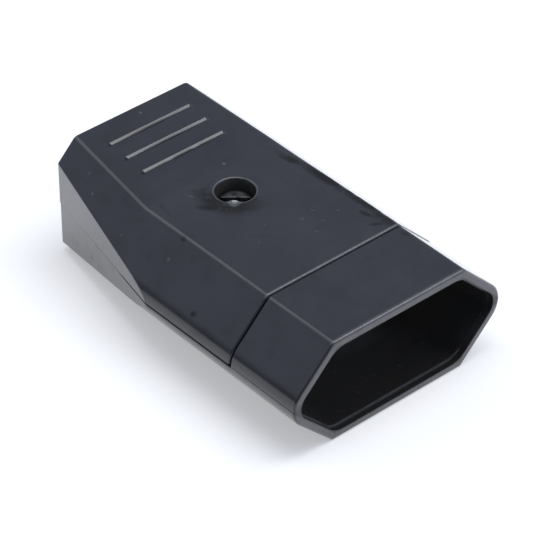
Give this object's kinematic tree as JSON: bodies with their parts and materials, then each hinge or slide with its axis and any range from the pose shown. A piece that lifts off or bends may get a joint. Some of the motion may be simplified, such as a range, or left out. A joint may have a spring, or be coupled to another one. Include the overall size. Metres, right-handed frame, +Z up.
{
  "type": "inline power socket",
  "caption": "Rewirable black inline socket for flat plugs: hexagonal collar with a deep recess, a screwed-on cover with grip grooves, brass contacts and a cord clamp inside",
  "frame": {"origin": "on the underside, at the middle of the length and width", "axes": "+X along the body to the mouth, +Y to the left seen from the cord end, +Z up"},
  "size_m": [0.0624, 0.0414, 0.0206],
  "materials": {
    "shell": "satin moulded black plastic with a faint blue-grey sheen",
    "contacts": "plain turned brass",
    "springs": "plain spring steel",
    "screws": "dull zinc-plated steel",
    "clamp": "matte black plastic"
  },
  "bodies": {
    "root": {"base_housing": "shell", "top_cover": "shell", "cover_screw": "screws", "captive_nut": "screws", "left_contact": "contacts", "right_contact": "contacts", "left_spring_ring": "springs", "right_spring_ring": "springs", "terminal_screws": "screws", "cord_clamp": "clamp", "clamp_screws": "screws"}
  },
  "joints": []
}
